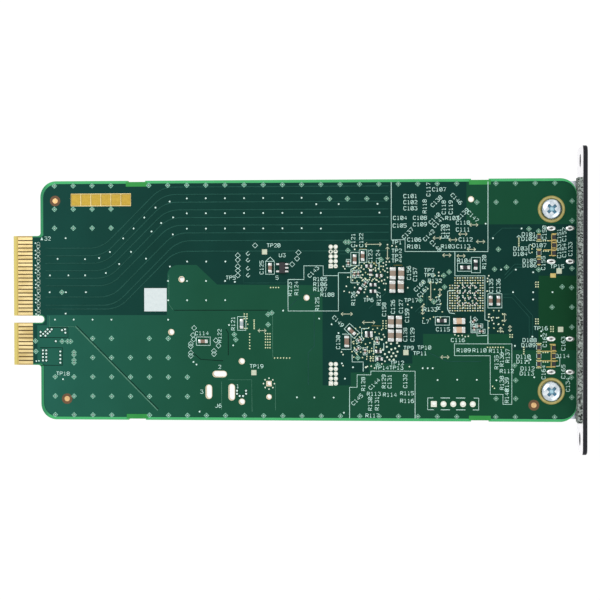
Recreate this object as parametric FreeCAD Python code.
import FreeCAD, Part
import math
import os

V = FreeCAD.Vector

# Frame: +X out through the face plate, +Y along the plate, +Z from the component side to the board's back.
# Origin: the outer face of the plate, midway between its two fixing holes. Millimetres throughout.

# Face plate, sheet steel
PLATE_LENGTH = 80.0
PLATE_WIDTH = 16.0
PLATE_THICK = 1.2
PLATE_CORNER_R = 2.0
PLATE_HOLE_INSET = 3.5
PLATE_HOLE_D = 3.5
PLATE_EDGE_BREAK = 0.25
PORT_SLOT_CLEARANCE = 0.25

# Foam gasket between plate and board
GASKET_THICK = 1.2
GASKET_TOP_Z = 7.3
GASKET_LOW_Z = -7.0
GASKET_EAR_GAP = 0.9
GASKET_PORT_CLEARANCE = 0.45

# Circuit board
BOARD_LENGTH = 141.5
BOARD_WIDTH = 63.5
BOARD_THICK = 1.57
BOARD_CORNER_R = 4.2
BREAK_CENTRES_X = (-118.0, -27.4)
BREAK_LENGTH = 4.6
BREAK_DEPTH = 0.3

# Edge tab with its contact fingers and key notch
TAB_DEPTH = 7.4
TAB_SIDE_MARGIN = 0.7
TAB_ROOT_R = 0.8
TAB_BEVEL_LENGTH = 1.3
TAB_BEVEL_DEPTH = 0.45
KEY_WIDTH = 1.9
KEY_DEPTH = 8.3
FINGER_PITCH = 1.0
FINGER_WIDTH = 0.7
FINGER_LENGTH = 3.9
FINGER_THICK = 0.05
LONG_GROUP = 21
SHORT_GROUP = 11
KEY_GAP_PITCHES = 3

# Ports on the component side
PORT_Y = 14.4
PORT_WIDTH = 8.94
PORT_HEIGHT = 3.2
PORT_WALL = 0.28
PORT_MOUTH_X = -0.3
PORT_SHELL_LENGTH = 9.9
PORT_BLOCK_LENGTH = 3.2
PORT_REAR_STEP = 0.8
PORT_REAR_WIDTH = 8.0
PORT_REAR_LOW_Z = -1.2
PORT_REAR_GAP = 0.05
TONGUE_WIDTH = 6.7
TONGUE_THICK = 0.7
TONGUE_TIP_X = -2.1
PORT_CONTACTS = 12
PORT_CONTACT_PITCH = 0.5
PORT_CONTACT_WIDTH = 0.26
PORT_CONTACT_THICK = 0.06
PORT_CONTACT_SETBACK = 0.5
PORT_TAIL_LENGTH = 1.1
PORT_TAIL_THICK = 0.18
LEG_X = (-4.0, -8.9)
LEG_WIDTH = 1.1
LEG_THICK = 0.3
LEG_PROUD = 0.18
LEG_SLOT_CLEARANCE = 0.2
SOLDER_LENGTH = 2.4
SOLDER_WIDTH = 1.4
SOLDER_HEIGHT = 0.22
SOLDER_SLOPE = 0.3

# Screwed joint between board and plate
SCREW_X = -8.9
SCREW_EAR_OFFSET = 1.5
SCREW_D = 3.0
SCREW_HEAD_D = 5.5
SCREW_HEAD_H = 2.0
SCREW_HEAD_EDGE = 0.7
SCREW_HOLE_D = 3.2
SCREW_RECESS_D = 2.9
SCREW_RECESS_WIDTH = 0.7
SCREW_RECESS_DEPTH = 1.2
SCREW_END_PROUD = 0.4
SCREW_TURN = 20
EAR_THICK = 1.2
EAR_LENGTH = 13.6
EAR_PORT_GAP = 0.43
EAR_EDGE_GAP = 0.65
EAR_LOW_Z = -6.4
EAR_BEND_R = 1.0
EAR_CORNER_R = 2.0

# Levels and edges that follow
Z_FRONT = PORT_HEIGHT / 2
Z_BACK = Z_FRONT + BOARD_THICK
X_PLATE_IN = -PLATE_THICK
X_BOARD_RIGHT = X_PLATE_IN - GASKET_THICK
X_BOARD_LEFT = X_BOARD_RIGHT - BOARD_LENGTH
X_TAB_END = X_BOARD_LEFT - TAB_DEPTH
PLATE_HOLE_PITCH = PLATE_LENGTH - 2 * PLATE_HOLE_INSET
FINGER_SPAN = FINGER_PITCH * (LONG_GROUP + SHORT_GROUP - 2 + KEY_GAP_PITCHES)
TAB_WIDTH = FINGER_SPAN + 2 * TAB_SIDE_MARGIN
KEY_Y = FINGER_PITCH * (SHORT_GROUP - 1 + KEY_GAP_PITCHES / 2) - FINGER_SPAN / 2
EAR_INNER_Y = PORT_Y + PORT_WIDTH / 2 + EAR_PORT_GAP
EAR_OUTER_Y = BOARD_WIDTH / 2 - EAR_EDGE_GAP
SCREW_Y = (EAR_INNER_Y + EAR_OUTER_Y) / 2 - SCREW_EAR_OFFSET
GASKET_LOW_HALF = EAR_INNER_Y - GASKET_EAR_GAP
PORTS = (("upper", PORT_Y), ("lower", -PORT_Y))
SIDES = (("upper", 1), ("lower", -1))

# Plated holes are pressed out with few flat sides
HOLE_SIDES = 14
SLOT_END_SIDES = 6

# Open holes of the board: x, y, diameter
ROUND_HOLES = (
    (-106.0, 5.6, 1.6),
    (-108.8, -8.4, 1.6),
    (-90.0, -16.1, 1.6),
    (-90.0, -26.8, 1.6),
    (-82.8, -25.5, 1.4),
    (-82.8, -22.0, 1.3),
    (-72.8, 0.7, 1.5),
    (-29.7, 26.4, 1.5),
)
# Open slots of the unfitted power jack: x, y, length, width, turn in degrees
JACK_SLOTS = (
    (-95.9, -19.5, 3.8, 1.7, 0),
    (-98.8, -24.2, 3.8, 1.7, 90),
    (-92.7, -24.3, 4.4, 1.7, 90),
)
# Unfitted pin headers: two of two columns on a fine pitch, and a single row on a coarse one
FINE_HEADERS_AT = ((-66.4, 14.1), (-66.4, -16.8))
FINE_HEADER_COLUMNS = 2
FINE_HEADER_ROWS = 5
FINE_HEADER_PITCH = 1.27
FINE_HEADER_HOLE_D = 0.85
ROW_HEADER_AT = (-39.4, -27.2)
ROW_HEADER_PINS = 5
ROW_HEADER_PITCH = 2.54
ROW_HEADER_HOLE_D = 1.1

# Chip sizes: length, width, height and, where it stands out, the end band
CHIP_LARGE = (3.2, 1.6, 1.3, 0.5)
CHIP_MEDIUM = (1.9, 0.95, 0.8, 0.4)
CHIP_FLAT = (1.9, 0.95, 0.5, 0.4)
CHIP_SMALL = (1.0, 0.5, 0.5)
CHIP_TINY = (0.6, 0.3, 0.3)
CHIP_BAND_PROUD = 0.03

# Chips on the back: x, y, turn in degrees
BULK_BACK = (
    (-50.1, 7.1, 90),
    (-47.9, 7.1, 90),
    (-50.2, 3.6, 90),
    (-48.0, 3.6, 90),
    (-50.6, -5.6, 90),
    (-48.5, -5.6, 90),
    (-50.6, -9.2, 90),
    (-48.5, -9.2, 90),
    (-32.9, -5.6, 0),
    (-32.9, -7.7, 0),
)
CAPACITORS_BACK = (
    (-82.4, 8.6, 90),
    (-100.3, -10.8, 0),
    (-60.0, 10.8, 90),
    (-58.0, 11.6, 90),
    (-60.9, -8.2, -45),
    (-62.2, -10.8, 90),
    (-24.6, -0.1, 90),
    (-22.6, -0.1, 90),
)
RESISTORS_BACK = (
    (-90.0, -6.2, 90),
    (-31.2, 8.6, 0),
    (-28.5, 9.3, 90),
)
BEAD_BACK = (-37.3, -5.3, 0)
SMALL_BACK = (
    (-61.8, 9.8, 90),
    (-60.2, 6.9, 90),
    (-59.2, 7.0, 90),
    (-55.9, 8.6, 0),
    (-53.9, 6.5, 0),
    (-55.6, 4.8, 90),
    (-57.4, 4.4, 60),
    (-56.4, -9.0, 0),
    (-54.1, -11.0, 90),
    (-53.8, -13.3, 0),
    (-59.5, -13.4, 45),
    (-58.9, -11.1, 30),
    (-55.0, -15.5, 0),
    (-29.2, -5.4, 45),
    (-27.6, -6.9, 0),
    (-27.0, -8.6, 0),
    (-29.4, -7.6, 90),
)

# Controller with heat sink on the component side
CONTROLLER_X = -30.8
CONTROLLER_Y = 1.3
CONTROLLER_SIZE = 10.7
CONTROLLER_BASE_H = 0.6
DIE_LENGTH = 7.0
DIE_WIDTH = 5.6
DIE_H = 0.4
THERMAL_PAD_H = 0.3
SINK_SIZE = 23.0
SINK_H = 7.6
SINK_BASE_H = 1.6
SINK_FINS = 9
SINK_FIN_THICK = 0.9

# Small parts under the controller on the back: rows and columns of tiny chips
UNDER_ROWS = 4
UNDER_COLUMNS = 4
UNDER_PITCH = 1.5

# Other parts on the component side
POWER_CHIP_SIZE = 6.0
POWER_CHIP_H = 0.85
POWER_CHIP_X = -18.6
CONVERTER_SIZE = 4.0
CONVERTER_AT = ((-44.0, 6.0), (-44.0, -7.0))
COIL_SIZE = 7.0
COIL_H = 3.2
COIL_CORNER = 0.6
COIL_AT = ((-58.5, 5.4), (-58.5, -7.4))
COIL_TERMINAL = (0.4, 3.0, 1.4)
CAN_AT = ((-75.4, 15.0), (-75.4, -14.0))
CAN_D = 6.3
CAN_H = 5.8
CAN_BASE_SIZE = 6.6
CAN_BASE_H = 0.9
CAN_TOP_BREAK = 0.4
CAN_BASE_CUT = 1.2
MEMORY_AT = (-51.0, -24.5)
MEMORY_BODY = (3.9, 4.9, 1.45)
CRYSTAL_AT = (-41.5, 16.5)
CRYSTAL_SIZE = (3.2, 2.5, 0.8)
COUPLING_X = -136.6
COUPLING_Y = (13.0, 12.0, 10.0, 9.0, 7.0, 6.0, 4.0, 3.0)
FRONT_CHIPS = (
    (-50.2, 8.6, 90),
    (-50.2, 3.4, 90),
    (-50.2, -5.0, 90),
    (-50.2, -9.8, 90),
    (-67.0, 4.0, 0),
    (-67.0, -6.0, 0),
    (-18.6, 20.2, 0),
    (-18.6, 8.6, 0),
    (-18.6, -8.6, 0),
    (-18.6, -20.2, 0),
    (-24.0, 14.4, 90),
    (-24.0, -14.4, 90),
)

# Leads of the small regulator and of the memory chip
REGULATOR_AT = (-79.2, 8.6)
REGULATOR_BODY = (1.6, 2.9, 1.0)
REGULATOR_PITCH = 0.95
REGULATOR_LEAD_Z = 0.4
MEMORY_PITCH = 1.27
MEMORY_LEAD_Z = 0.6
LEAD_WIDTH = 0.42
LEAD_THICK = 0.18
LEAD_FOOT = 0.55
LEAD_REACH = 0.25
BODY_STANDOFF = 0.1
BODY_DRAFT = 0.1


def box(x0, x1, y0, y1, z0, z1):
    return Part.makeBox(x1 - x0, y1 - y0, z1 - z0, V(x0, y0, z0))


def rod(x, y, d, z0, z1):
    return Part.makeCylinder(d / 2, z1 - z0, V(x, y, z0))


def prism(points, direction):
    """A closed outline of points pushed along a direction."""
    outline = Part.makePolygon([V(*p) for p in points] + [V(*points[0])])
    return Part.Face(outline).extrude(V(*direction))


def ring_points(x, y, d, z, sides):
    """Points evenly round a circle, for a hole or post with flat sides."""
    angles = [2 * math.pi * (i + 0.5) / sides for i in range(sides)]
    return [(x + d / 2 * math.cos(a), y + d / 2 * math.sin(a), z) for a in angles]


def slot_points(length, width, z):
    """A round-ended outline along X with flat-sided ends."""
    half = (length - width) / 2
    points = []
    for end, start in ((1, -90), (-1, 90)):
        for i in range(SLOT_END_SIDES + 1):
            a = math.radians(start + 180 * i / SLOT_END_SIDES)
            points.append((end * half + width / 2 * math.cos(a), width / 2 * math.sin(a), z))
    return points


def hole(x, y, d):
    """A cutter right through the board for one plated hole."""
    return prism(ring_points(x, y, d, Z_FRONT - 1, HOLE_SIDES), (0, 0, BOARD_THICK + 2))


def slot(x, y, length, width, turn=0):
    """A cutter right through the board for a round-ended slot, its length turned from X."""
    bar = prism(slot_points(length, width, Z_FRONT - 1), (0, 0, BOARD_THICK + 2))
    bar.rotate(V(0, 0, 0), V(0, 0, 1), turn)
    bar.translate(V(x, y, 0))
    return bar


def loft(low, high):
    """A solid between two closed outlines of as many points."""
    wires = [Part.makePolygon([V(*p) for p in points] + [V(*points[0])]) for points in (low, high)]
    return Part.makeLoft(wires, True, True)


def rectangle(width, length, z):
    w, h = width / 2, length / 2
    return [(-w, -h, z), (w, -h, z), (w, h, z), (-w, h, z)]


def slot_x(y, width, height, x0, x1):
    """A round-ended bar lying along X on the port centre level, as wide as the opening of a port."""
    half = (width - height) / 2
    ends = [Part.makeCylinder(height / 2, x1 - x0, V(x0, y + s * half, 0), V(1, 0, 0)) for s in (-1, 1)]
    return box(x0, x1, y - half, y + half, -height / 2, height / 2).fuse(ends).removeSplitter()


def edges_along(solid, direction):
    """The straight edges of a solid that run along a direction."""
    found = []
    for edge in solid.Edges:
        if edge.Curve.TypeId == "Part::GeomLine" and abs(edge.Curve.Direction.dot(direction)) > 0.999:
            found.append(edge)
    return found


def edges_at(solid, z):
    """The edges of a solid that lie flat at a level."""
    return [e for e in solid.Edges if abs(e.BoundBox.ZMin - z) < 0.01 and e.BoundBox.ZLength < 0.01]


def on_back(solid, x, y, turn=0):
    """Sets a part modelled on z = 0 down on the back of the board."""
    solid.rotate(V(0, 0, 0), V(0, 0, 1), turn)
    solid.translate(V(x, y, Z_BACK))
    return solid


def on_front(solid, x, y, turn=0):
    """Sets a part modelled on z = 0 down on the component side of the board."""
    solid.rotate(V(0, 0, 0), V(0, 0, 1), turn)
    solid.rotate(V(0, 0, 0), V(1, 0, 0), 180)
    solid.translate(V(x, y, Z_FRONT))
    return solid


def plain_chip(size):
    """A chip part too small for its end bands to stand out."""
    length, width, height = size
    return box(-length / 2, length / 2, -width / 2, width / 2, 0, height)


def chip(size):
    """A two-ended chip part: a body with a slightly proud metal band over each end."""
    length, width, height, band = size
    half, side = length / 2, width / 2
    proud = CHIP_BAND_PROUD
    body = box(-half, half, -side, side, 0, height)
    left = box(-half - proud, -half + band, -side - proud, side + proud, 0, height + proud)
    right = box(half - band, half + proud, -side - proud, side + proud, 0, height + proud)
    return body.fuse([left, right]).removeSplitter()


def gull_lead(side, body_half, shoulder_z, y):
    """One bent lead, from the side of a body down to a foot on the board."""
    root = side * body_half
    knee = side * (body_half + LEAD_REACH)
    toe = side * (body_half + LEAD_REACH + LEAD_FOOT)
    inner = side * (body_half + LEAD_REACH + LEAD_THICK)
    points = (
        (root, y, shoulder_z),
        (knee, y, shoulder_z),
        (knee, y, 0),
        (toe, y, 0),
        (toe, y, LEAD_THICK),
        (inner, y, LEAD_THICK),
        (inner, y, shoulder_z + LEAD_THICK),
        (root, y, shoulder_z + LEAD_THICK),
    )
    lead = prism(points, (0, LEAD_WIDTH, 0))
    lead.translate(V(0, -LEAD_WIDTH / 2, 0))
    return lead


def finger_rows():
    """The Y of every contact finger, the long group first."""
    top = FINGER_SPAN / 2
    long_rows = [top - i * FINGER_PITCH for i in range(LONG_GROUP)]
    short_rows = [-top + i * FINGER_PITCH for i in range(SHORT_GROUP)]
    return long_rows + short_rows


def header_holes():
    holes = []
    for x, y in FINE_HEADERS_AT:
        for i in range(FINE_HEADER_COLUMNS):
            for j in range(FINE_HEADER_ROWS):
                place = (x + i * FINE_HEADER_PITCH, y - j * FINE_HEADER_PITCH)
                holes.append((*place, FINE_HEADER_HOLE_D))
    x, y = ROW_HEADER_AT
    holes += [(x + i * ROW_HEADER_PITCH, y, ROW_HEADER_HOLE_D) for i in range(ROW_HEADER_PINS)]
    return holes


def leg_places():
    return [(x, y + s * (PORT_WIDTH / 2 - LEG_THICK / 2)) for _, y in PORTS for x in LEG_X for s in (-1, 1)]


def leg_slot(x, y, z0, z1):
    """The opening in the board that one shell leg stands in."""
    w, t = LEG_WIDTH / 2 + LEG_SLOT_CLEARANCE, LEG_THICK / 2 + LEG_SLOT_CLEARANCE
    return box(x - w, x + w, y - t, y + t, z0, z1)


def make_board():
    half = BOARD_WIDTH / 2
    body = box(X_BOARD_LEFT, X_BOARD_RIGHT, -half, half, Z_FRONT, Z_BACK)
    body = body.makeFillet(BOARD_CORNER_R, edges_along(body, V(0, 0, 1)))
    tab = box(X_TAB_END, X_BOARD_LEFT + 1, -TAB_WIDTH / 2, TAB_WIDTH / 2, Z_FRONT, Z_BACK)
    board = body.fuse(tab).removeSplitter()
    roots = []
    for edge in edges_along(board, V(0, 0, 1)):
        at = edge.Vertexes[0].Point
        if abs(at.x - X_BOARD_LEFT) < 0.01 and abs(abs(at.y) - TAB_WIDTH / 2) < 0.01:
            roots.append(edge)
    board = board.makeFillet(TAB_ROOT_R, roots)
    cuts = []
    key_end = X_TAB_END + KEY_DEPTH
    over = KEY_WIDTH
    key_x = (X_TAB_END - over + key_end) / 2
    cuts.append(slot(key_x, KEY_Y, KEY_DEPTH + over, KEY_WIDTH))
    for z, way in ((Z_BACK, 1), (Z_FRONT, -1)):
        wedge = (
            (X_TAB_END - 0.1, -TAB_WIDTH, z + way),
            (X_TAB_END - 0.1, -TAB_WIDTH, z - way * TAB_BEVEL_DEPTH),
            (X_TAB_END, -TAB_WIDTH, z - way * TAB_BEVEL_DEPTH),
            (X_TAB_END + TAB_BEVEL_LENGTH, -TAB_WIDTH, z),
            (X_TAB_END + TAB_BEVEL_LENGTH, -TAB_WIDTH, z + way),
        )
        cuts.append(prism(wedge, (0, 2 * TAB_WIDTH, 0)))
    for x in BREAK_CENTRES_X:
        x0, x1 = x - BREAK_LENGTH / 2, x + BREAK_LENGTH / 2
        cuts.append(box(x0, x1, half - BREAK_DEPTH, half + 1, Z_FRONT - 1, Z_BACK + 1))
        cuts.append(box(x0, x1, -half - 1, -half + BREAK_DEPTH, Z_FRONT - 1, Z_BACK + 1))
    holes = list(ROUND_HOLES) + header_holes()
    holes += [(SCREW_X, s * SCREW_Y, SCREW_HOLE_D) for _, s in SIDES]
    cuts += [hole(x, y, d) for x, y, d in holes]
    cuts += [slot(*row) for row in JACK_SLOTS]
    cuts += [leg_slot(x, y, Z_FRONT - 1, Z_BACK + 1) for x, y in leg_places()]
    return board.cut(cuts)


def make_fingers(z):
    x0 = X_TAB_END + TAB_BEVEL_LENGTH
    w = FINGER_WIDTH / 2
    return [box(x0, x0 + FINGER_LENGTH, y - w, y + w, z, z + FINGER_THICK) for y in finger_rows()]


def make_plate():
    plate = box(X_PLATE_IN, 0, -PLATE_LENGTH / 2, PLATE_LENGTH / 2, -PLATE_WIDTH / 2, PLATE_WIDTH / 2)
    plate = plate.makeFillet(PLATE_CORNER_R, edges_along(plate, V(1, 0, 0)))
    front = [e for e in plate.Edges if abs(e.BoundBox.XMin) < 0.01 and e.BoundBox.XLength < 0.01]
    plate = plate.makeChamfer(PLATE_EDGE_BREAK, front)
    cuts = []
    for _, y in PORTS:
        grow = 2 * PORT_SLOT_CLEARANCE
        cuts.append(slot_x(y, PORT_WIDTH + grow, PORT_HEIGHT + grow, X_PLATE_IN - 1, 1))
    for _, s in SIDES:
        start = V(X_PLATE_IN - 1, s * PLATE_HOLE_PITCH / 2, 0)
        cuts.append(Part.makeCylinder(PLATE_HOLE_D / 2, PLATE_THICK + 2, start, V(1, 0, 0)))
    return plate.cut(cuts)


def make_gasket():
    half = BOARD_WIDTH / 2
    wide = box(X_BOARD_RIGHT, X_PLATE_IN, -half, half, Z_FRONT, GASKET_TOP_Z)
    low = box(X_BOARD_RIGHT, X_PLATE_IN, -GASKET_LOW_HALF, GASKET_LOW_HALF, GASKET_LOW_Z, Z_FRONT)
    cuts = []
    for _, y in PORTS:
        grow = 2 * GASKET_PORT_CLEARANCE
        cuts.append(slot_x(y, PORT_WIDTH + grow, PORT_HEIGHT + grow, X_BOARD_RIGHT - 1, X_PLATE_IN + 1))
    return wide.fuse(low).removeSplitter().cut(cuts)


def make_ear(side):
    """A bent steel ear: its foot under the board takes the screw, its leg is welded to the plate."""
    y0, y1 = sorted((side * EAR_INNER_Y, side * EAR_OUTER_Y))
    foot = box(X_PLATE_IN - EAR_LENGTH, X_PLATE_IN, y0, y1, Z_FRONT - EAR_THICK, Z_FRONT)
    leg = box(X_BOARD_RIGHT, X_PLATE_IN, y0, y1, EAR_LOW_Z, Z_FRONT)
    ear = foot.fuse(leg).removeSplitter()
    bend = [e for e in edges_at(ear, Z_FRONT) if abs(e.BoundBox.XMin - X_PLATE_IN) < 0.01]
    ear = ear.makeFillet(EAR_BEND_R, bend)
    far_x = X_PLATE_IN - EAR_LENGTH
    corners = [e for e in edges_along(ear, V(0, 0, 1)) if abs(e.Vertexes[0].X - far_x) < 0.01]
    ear = ear.makeFillet(EAR_CORNER_R, corners)
    return ear.cut(rod(SCREW_X, side * SCREW_Y, SCREW_D, Z_FRONT - 3, Z_FRONT + 1))


def make_screw(side):
    """A pan-head screw with a cross recess, its shank ending level with the ear."""
    top = Z_BACK + SCREW_HEAD_H
    end = Z_FRONT - EAR_THICK - SCREW_END_PROUD
    head_r = SCREW_HEAD_D / 2
    profile = (
        (0, 0, end),
        (SCREW_D / 2, 0, end),
        (SCREW_D / 2, 0, Z_BACK),
        (head_r, 0, Z_BACK),
        (head_r, 0, top - SCREW_HEAD_EDGE),
        (head_r - SCREW_HEAD_EDGE, 0, top),
        (0, 0, top),
    )
    outline = Part.makePolygon([V(*p) for p in profile] + [V(*profile[0])])
    screw = Part.Face(outline).revolve(V(0, 0, 0), V(0, 0, 1), 360)
    wing, slim = SCREW_RECESS_D / 2, SCREW_RECESS_WIDTH / 2
    floor = top - SCREW_RECESS_DEPTH
    arm = box(-wing, wing, -slim, slim, floor, top + 1)
    other = box(-slim, slim, -wing, wing, floor, top + 1)
    screw = screw.cut(arm.fuse(other).removeSplitter())
    screw.rotate(V(0, 0, 0), V(0, 0, 1), SCREW_TURN * side)
    screw.translate(V(SCREW_X, side * SCREW_Y, 0))
    return screw


def make_shell(y):
    x1 = PORT_MOUTH_X
    x0 = x1 - PORT_SHELL_LENGTH
    tube = slot_x(y, PORT_WIDTH, PORT_HEIGHT, x0, x1)
    legs = []
    for x in LEG_X:
        for s in (-1, 1):
            outer = y + s * PORT_WIDTH / 2
            y0, y1 = sorted((outer, outer - s * LEG_THICK))
            legs.append(box(x - LEG_WIDTH / 2, x + LEG_WIDTH / 2, y0, y1, 0, Z_BACK + LEG_PROUD))
    inner = slot_x(y, PORT_WIDTH - 2 * PORT_WALL, PORT_HEIGHT - 2 * PORT_WALL, x0 - 1, x1 + 1)
    return tube.fuse(legs).removeSplitter().cut(inner)


def make_insulator(y):
    """The moulded block that closes the shell, with the tongue in front of it."""
    rear = PORT_MOUTH_X - PORT_SHELL_LENGTH
    face = rear + PORT_BLOCK_LENGTH
    block = slot_x(y, PORT_WIDTH - 2 * PORT_WALL, PORT_HEIGHT - 2 * PORT_WALL, rear, face)
    half = TONGUE_WIDTH / 2
    tongue = box(face, TONGUE_TIP_X, y - half, y + half, -TONGUE_THICK / 2, TONGUE_THICK / 2)
    w = PORT_REAR_WIDTH / 2
    step = box(rear - PORT_REAR_STEP, rear, y - w, y + w, PORT_REAR_LOW_Z, Z_FRONT - PORT_REAR_GAP)
    return block.fuse([tongue, step]).removeSplitter()


def make_port_contacts(y):
    rear = PORT_MOUTH_X - PORT_SHELL_LENGTH - PORT_REAR_STEP
    face = PORT_MOUTH_X - PORT_SHELL_LENGTH + PORT_BLOCK_LENGTH
    w = PORT_CONTACT_WIDTH / 2
    level = TONGUE_THICK / 2
    outer = level + PORT_CONTACT_THICK
    tip = TONGUE_TIP_X - PORT_CONTACT_SETBACK
    pieces = []
    for i in range(PORT_CONTACTS):
        yc = y + (i - (PORT_CONTACTS - 1) / 2) * PORT_CONTACT_PITCH
        pieces.append(box(face, tip, yc - w, yc + w, level, outer))
        pieces.append(box(face, tip, yc - w, yc + w, -outer, -level))
        pieces.append(box(rear - PORT_TAIL_LENGTH, rear, yc - w, yc + w, Z_FRONT - PORT_TAIL_THICK, Z_FRONT))
    return pieces


def make_leg_solder():
    """Solder that fills each leg's slot and stands on the back as a low mound round the leg's end."""
    mounds = []
    top = Z_BACK + SOLDER_HEIGHT
    slope = 2 * SOLDER_SLOPE
    for x, y in leg_places():
        low = slot_points(SOLDER_LENGTH, SOLDER_WIDTH, Z_BACK)
        foot = loft(low, slot_points(SOLDER_LENGTH - slope, SOLDER_WIDTH - slope, top))
        foot.translate(V(x, y, 0))
        leg = box(x - LEG_WIDTH / 2, x + LEG_WIDTH / 2, y - LEG_THICK / 2, y + LEG_THICK / 2, 0, top + 1)
        mounds.append(foot.fuse(leg_slot(x, y, Z_FRONT, Z_BACK)).removeSplitter().cut(leg))
    return mounds


def make_controller():
    half = CONTROLLER_SIZE / 2
    base = box(-half, half, -half, half, 0, CONTROLLER_BASE_H)
    top = CONTROLLER_BASE_H + DIE_H
    die = box(-DIE_LENGTH / 2, DIE_LENGTH / 2, -DIE_WIDTH / 2, DIE_WIDTH / 2, CONTROLLER_BASE_H, top)
    return on_front(base.fuse(die).removeSplitter(), CONTROLLER_X, CONTROLLER_Y)


def make_thermal_pad():
    z = CONTROLLER_BASE_H + DIE_H
    pad = box(-DIE_LENGTH / 2, DIE_LENGTH / 2, -DIE_WIDTH / 2, DIE_WIDTH / 2, z, z + THERMAL_PAD_H)
    return on_front(pad, CONTROLLER_X, CONTROLLER_Y)


def make_sink():
    half = SINK_SIZE / 2
    z = CONTROLLER_BASE_H + DIE_H + THERMAL_PAD_H
    base = box(-half, half, -half, half, z, z + SINK_BASE_H)
    step = (SINK_SIZE - SINK_FIN_THICK) / (SINK_FINS - 1)
    fins = []
    for i in range(SINK_FINS):
        y = -half + i * step
        fins.append(box(-half, half, y, y + SINK_FIN_THICK, z + SINK_BASE_H, z + SINK_H))
    return on_front(base.fuse(fins).removeSplitter(), CONTROLLER_X, CONTROLLER_Y)


def make_flat_chips(places, size, height):
    half = size / 2
    return [on_front(box(-half, half, -half, half, 0, height), x, y) for x, y in places]


def make_coil():
    half = COIL_SIZE / 2
    body = box(-half, half, -half, half, BODY_STANDOFF, COIL_H)
    return body.makeChamfer(COIL_CORNER, edges_along(body, V(0, 0, 1)))


def make_coil_terminals():
    thick, width, height = COIL_TERMINAL
    half = COIL_SIZE / 2
    left = box(-half - thick, -half, -width / 2, width / 2, 0, height)
    right = box(half, half + thick, -width / 2, width / 2, 0, height)
    return [left, right]


def make_can():
    can = rod(0, 0, CAN_D, CAN_BASE_H, CAN_H)
    return can.makeChamfer(CAN_TOP_BREAK, edges_at(can, CAN_H))


def make_can_base():
    half = CAN_BASE_SIZE / 2
    base = box(-half, half, -half, half, 0, CAN_BASE_H)
    corners = [e for e in edges_along(base, V(0, 0, 1)) if e.Vertexes[0].X > 0]
    return base.makeChamfer(CAN_BASE_CUT, corners)


def make_packaged_body(size, waist):
    """A moulded body whose four sides lean in above and below the level its leads leave it."""
    width, length, height = size
    lean = 2 * BODY_DRAFT
    low = rectangle(width - lean, length - lean, BODY_STANDOFF)
    middle = rectangle(width, length, waist)
    high = rectangle(width - lean, length - lean, height)
    return loft(low, middle).fuse(loft(middle, high)).removeSplitter()


def make_crystal():
    length, width, height = CRYSTAL_SIZE
    can = box(-length / 2, length / 2, -width / 2, width / 2, 0, height)
    return can.makeFillet(0.4, edges_along(can, V(0, 0, 1)))


def under_places():
    places = []
    for i in range(UNDER_COLUMNS):
        for j in range(UNDER_ROWS):
            x = CONTROLLER_X + (i - (UNDER_COLUMNS - 1) / 2) * UNDER_PITCH
            y = CONTROLLER_Y + (j - (UNDER_ROWS - 1) / 2) * UNDER_PITCH
            places.append((x, y, 45 if (i + j) % 2 else -45))
    return places


nodes = {}
nodes["circuit_board"] = [make_board()]
nodes["edge_contacts_back"] = make_fingers(Z_BACK)
nodes["edge_contacts_front"] = make_fingers(Z_FRONT - FINGER_THICK)
nodes["face_plate"] = [make_plate()]
nodes["foam_gasket"] = [make_gasket()]
for name, side in SIDES:
    nodes["mounting_ear_" + name] = [make_ear(side)]
    nodes["board_screw_" + name] = [make_screw(side)]
for name, port_y in PORTS:
    nodes["port_shell_" + name] = [make_shell(port_y)]
    nodes["port_insulator_" + name] = [make_insulator(port_y)]
    nodes["port_contacts_" + name] = make_port_contacts(port_y)
nodes["port_leg_solder"] = make_leg_solder()
nodes["controller_chip"] = [make_controller()]
nodes["thermal_pad"] = [make_thermal_pad()]
nodes["heat_sink"] = [make_sink()]
power_places = [(POWER_CHIP_X, y) for _, y in PORTS]
nodes["port_power_chips"] = make_flat_chips(power_places, POWER_CHIP_SIZE, POWER_CHIP_H)
nodes["converter_chips"] = make_flat_chips(CONVERTER_AT, CONVERTER_SIZE, POWER_CHIP_H)
nodes["power_coils"] = [on_front(make_coil(), x, y) for x, y in COIL_AT]
nodes["coil_terminals"] = [on_front(t, x, y) for x, y in COIL_AT for t in make_coil_terminals()]
nodes["capacitor_cans"] = [on_front(make_can(), x, y) for x, y in CAN_AT]
nodes["capacitor_bases"] = [on_front(make_can_base(), x, y) for x, y in CAN_AT]
nodes["memory_body"] = [on_front(make_packaged_body(MEMORY_BODY, MEMORY_LEAD_Z), *MEMORY_AT)]
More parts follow.
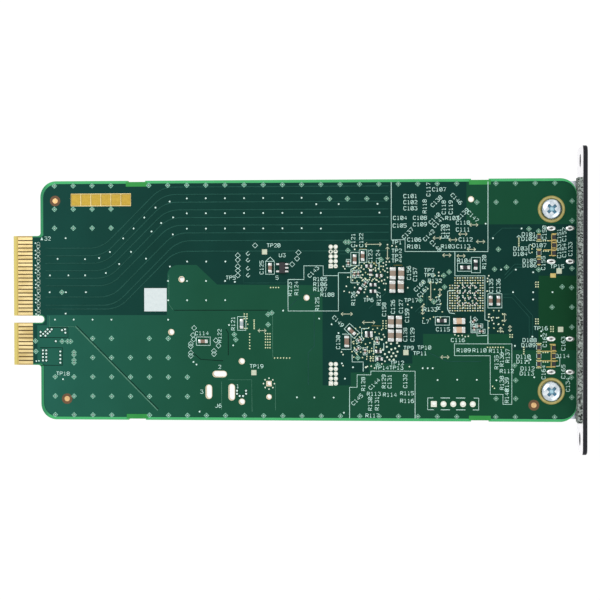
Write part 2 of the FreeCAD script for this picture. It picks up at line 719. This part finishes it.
memory_rows = [(i - 1.5) * MEMORY_PITCH for i in range(4)]
memory_half = MEMORY_BODY[0] / 2
memory_leads = [gull_lead(s, memory_half, MEMORY_LEAD_Z, y) for s in (-1, 1) for y in memory_rows]
nodes["memory_leads"] = [on_front(lead, *MEMORY_AT) for lead in memory_leads]
nodes["crystal_can"] = [on_front(make_crystal(), *CRYSTAL_AT)]
nodes["coupling_capacitors"] = [on_front(plain_chip(CHIP_SMALL), COUPLING_X, y) for y in COUPLING_Y]
nodes["front_capacitors"] = [on_front(chip(CHIP_MEDIUM), x, y, turn) for x, y, turn in FRONT_CHIPS]
nodes["bulk_capacitors_back"] = [on_back(chip(CHIP_LARGE), x, y, turn) for x, y, turn in BULK_BACK]
nodes["chip_capacitors_back"] = [on_back(chip(CHIP_MEDIUM), x, y, turn) for x, y, turn in CAPACITORS_BACK]
nodes["chip_resistors_back"] = [on_back(chip(CHIP_FLAT), x, y, turn) for x, y, turn in RESISTORS_BACK]
nodes["ferrite_bead_back"] = [on_back(chip(CHIP_MEDIUM), *BEAD_BACK)]
nodes["small_chips_back"] = [on_back(plain_chip(CHIP_SMALL), x, y, turn) for x, y, turn in SMALL_BACK]
nodes["tiny_chips_back"] = [on_back(plain_chip(CHIP_TINY), x, y, turn) for x, y, turn in under_places()]
regulator_body = make_packaged_body(REGULATOR_BODY, REGULATOR_LEAD_Z)
nodes["regulator_body"] = [on_back(regulator_body, *REGULATOR_AT)]
regulator_rows = [(-1, -1), (-1, 1), (1, -1), (1, 0), (1, 1)]
regulator_half = REGULATOR_BODY[0] / 2
regulator_leads = []
for end, row in regulator_rows:
    lead = gull_lead(end, regulator_half, REGULATOR_LEAD_Z, row * REGULATOR_PITCH)
    regulator_leads.append(on_back(lead, *REGULATOR_AT))
nodes["regulator_leads"] = regulator_leads

os.makedirs("parts", exist_ok=True)
for name, solids in nodes.items():
    shape = solids[0] if len(solids) == 1 else Part.makeCompound(solids)
    shape.exportStep("parts/" + name + ".step")
